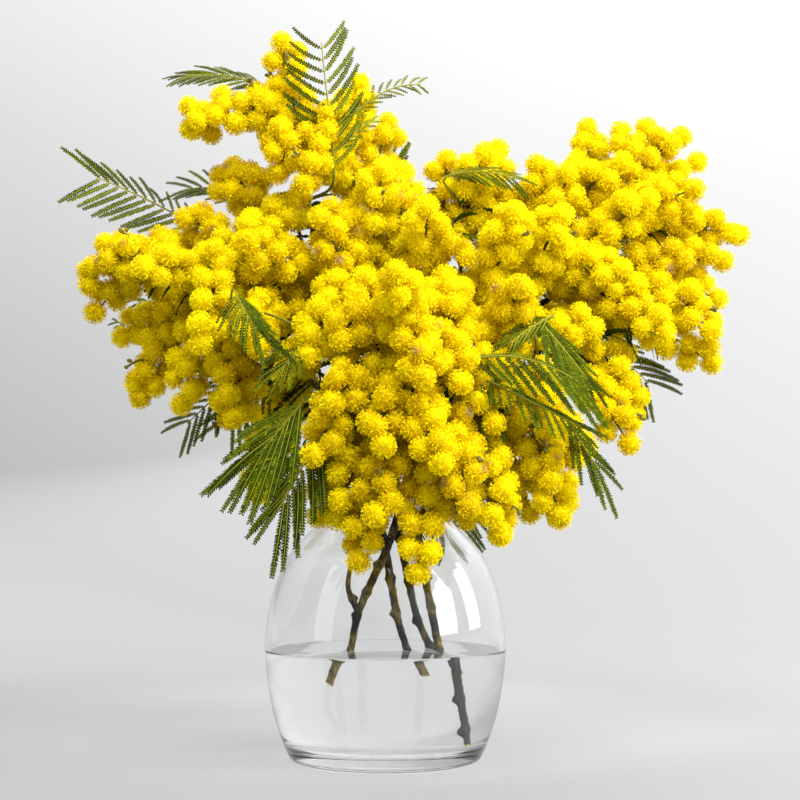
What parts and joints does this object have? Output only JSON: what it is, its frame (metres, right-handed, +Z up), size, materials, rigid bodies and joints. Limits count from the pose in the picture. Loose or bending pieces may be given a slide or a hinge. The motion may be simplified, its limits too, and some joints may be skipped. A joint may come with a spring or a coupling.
{
  "type": "mimosa branches in a glass vase",
  "caption": "Cut mimosa branches with yellow flower sprays and feathery fronds, standing in a round clear glass vase part-filled with water.",
  "frame": {"origin": "centre of the vase's foot, on the surface it stands on", "axes": "+Z up along the vase's axis, -Y towards the front of the bunch, +X to its right"},
  "size_m": [0.3015, 0.1788, 0.3007],
  "materials": {
    "glass": "clear polished glass",
    "water": "clear still water",
    "bark": "rough matt bark",
    "blossom": "soft matt petals",
    "leaf": "matt leaf"
  },
  "bodies": {
    "root": {"vase": "glass", "water": "water", "branch_right": "bark", "branch_top": "bark", "branch_front": "bark", "branch_left": "bark", "spray_crest": "blossom", "spray_crest_front": "blossom", "spray_crest_back": "blossom", "spray_crown": "blossom", "spray_crown_left": "blossom", "spray_back_left_high": "blossom", "spray_far_left": "blossom", "spray_left_bright": "blossom", "spray_left_big": "blossom", "spray_left_inner": "blossom", "spray_left_hang": "blossom", "spray_left_low": "blossom", "spray_nearest": "blossom", "spray_centre_left": "blossom", "spray_centre": "blossom", "spray_centre_low": "blossom", "spray_hang_left": "blossom", "spray_hang_mid": "blossom", "spray_low_right": "blossom", "spray_low_far_right": "blossom", "spray_right_crown": "blossom", "spray_right_top": "blossom", "spray_far_top": "blossom", "spray_right_bright": "blossom", "spray_right_mid": "blossom", "spray_right_long": "blossom", "spray_far_right": "blossom", "spray_right_low": "blossom", "spray_right_hang": "blossom", "spray_back_top": "blossom", "spray_back_centre": "blossom", "spray_back_left": "blossom", "spray_back_left_low": "blossom", "spray_back_right": "blossom", "spray_back_far_right": "blossom", "spray_back_low": "blossom", "frond_crest": "leaf", "frond_crest_left": "leaf", "frond_crest_right": "leaf", "frond_left": "leaf", "frond_left_back": "leaf", "frond_crown_right": "leaf", "frond_right_upper": "leaf", "frond_right_middle": "leaf", "frond_right_lower": "leaf", "frond_front_left": "leaf", "frond_front_low": "leaf", "frond_left_inner": "leaf", "frond_left_lower": "leaf", "frond_left_tip": "leaf", "frond_back_top": "leaf", "frond_back_left": "leaf", "frond_back_right": "leaf", "frond_back_low": "leaf"}
  },
  "joints": []
}
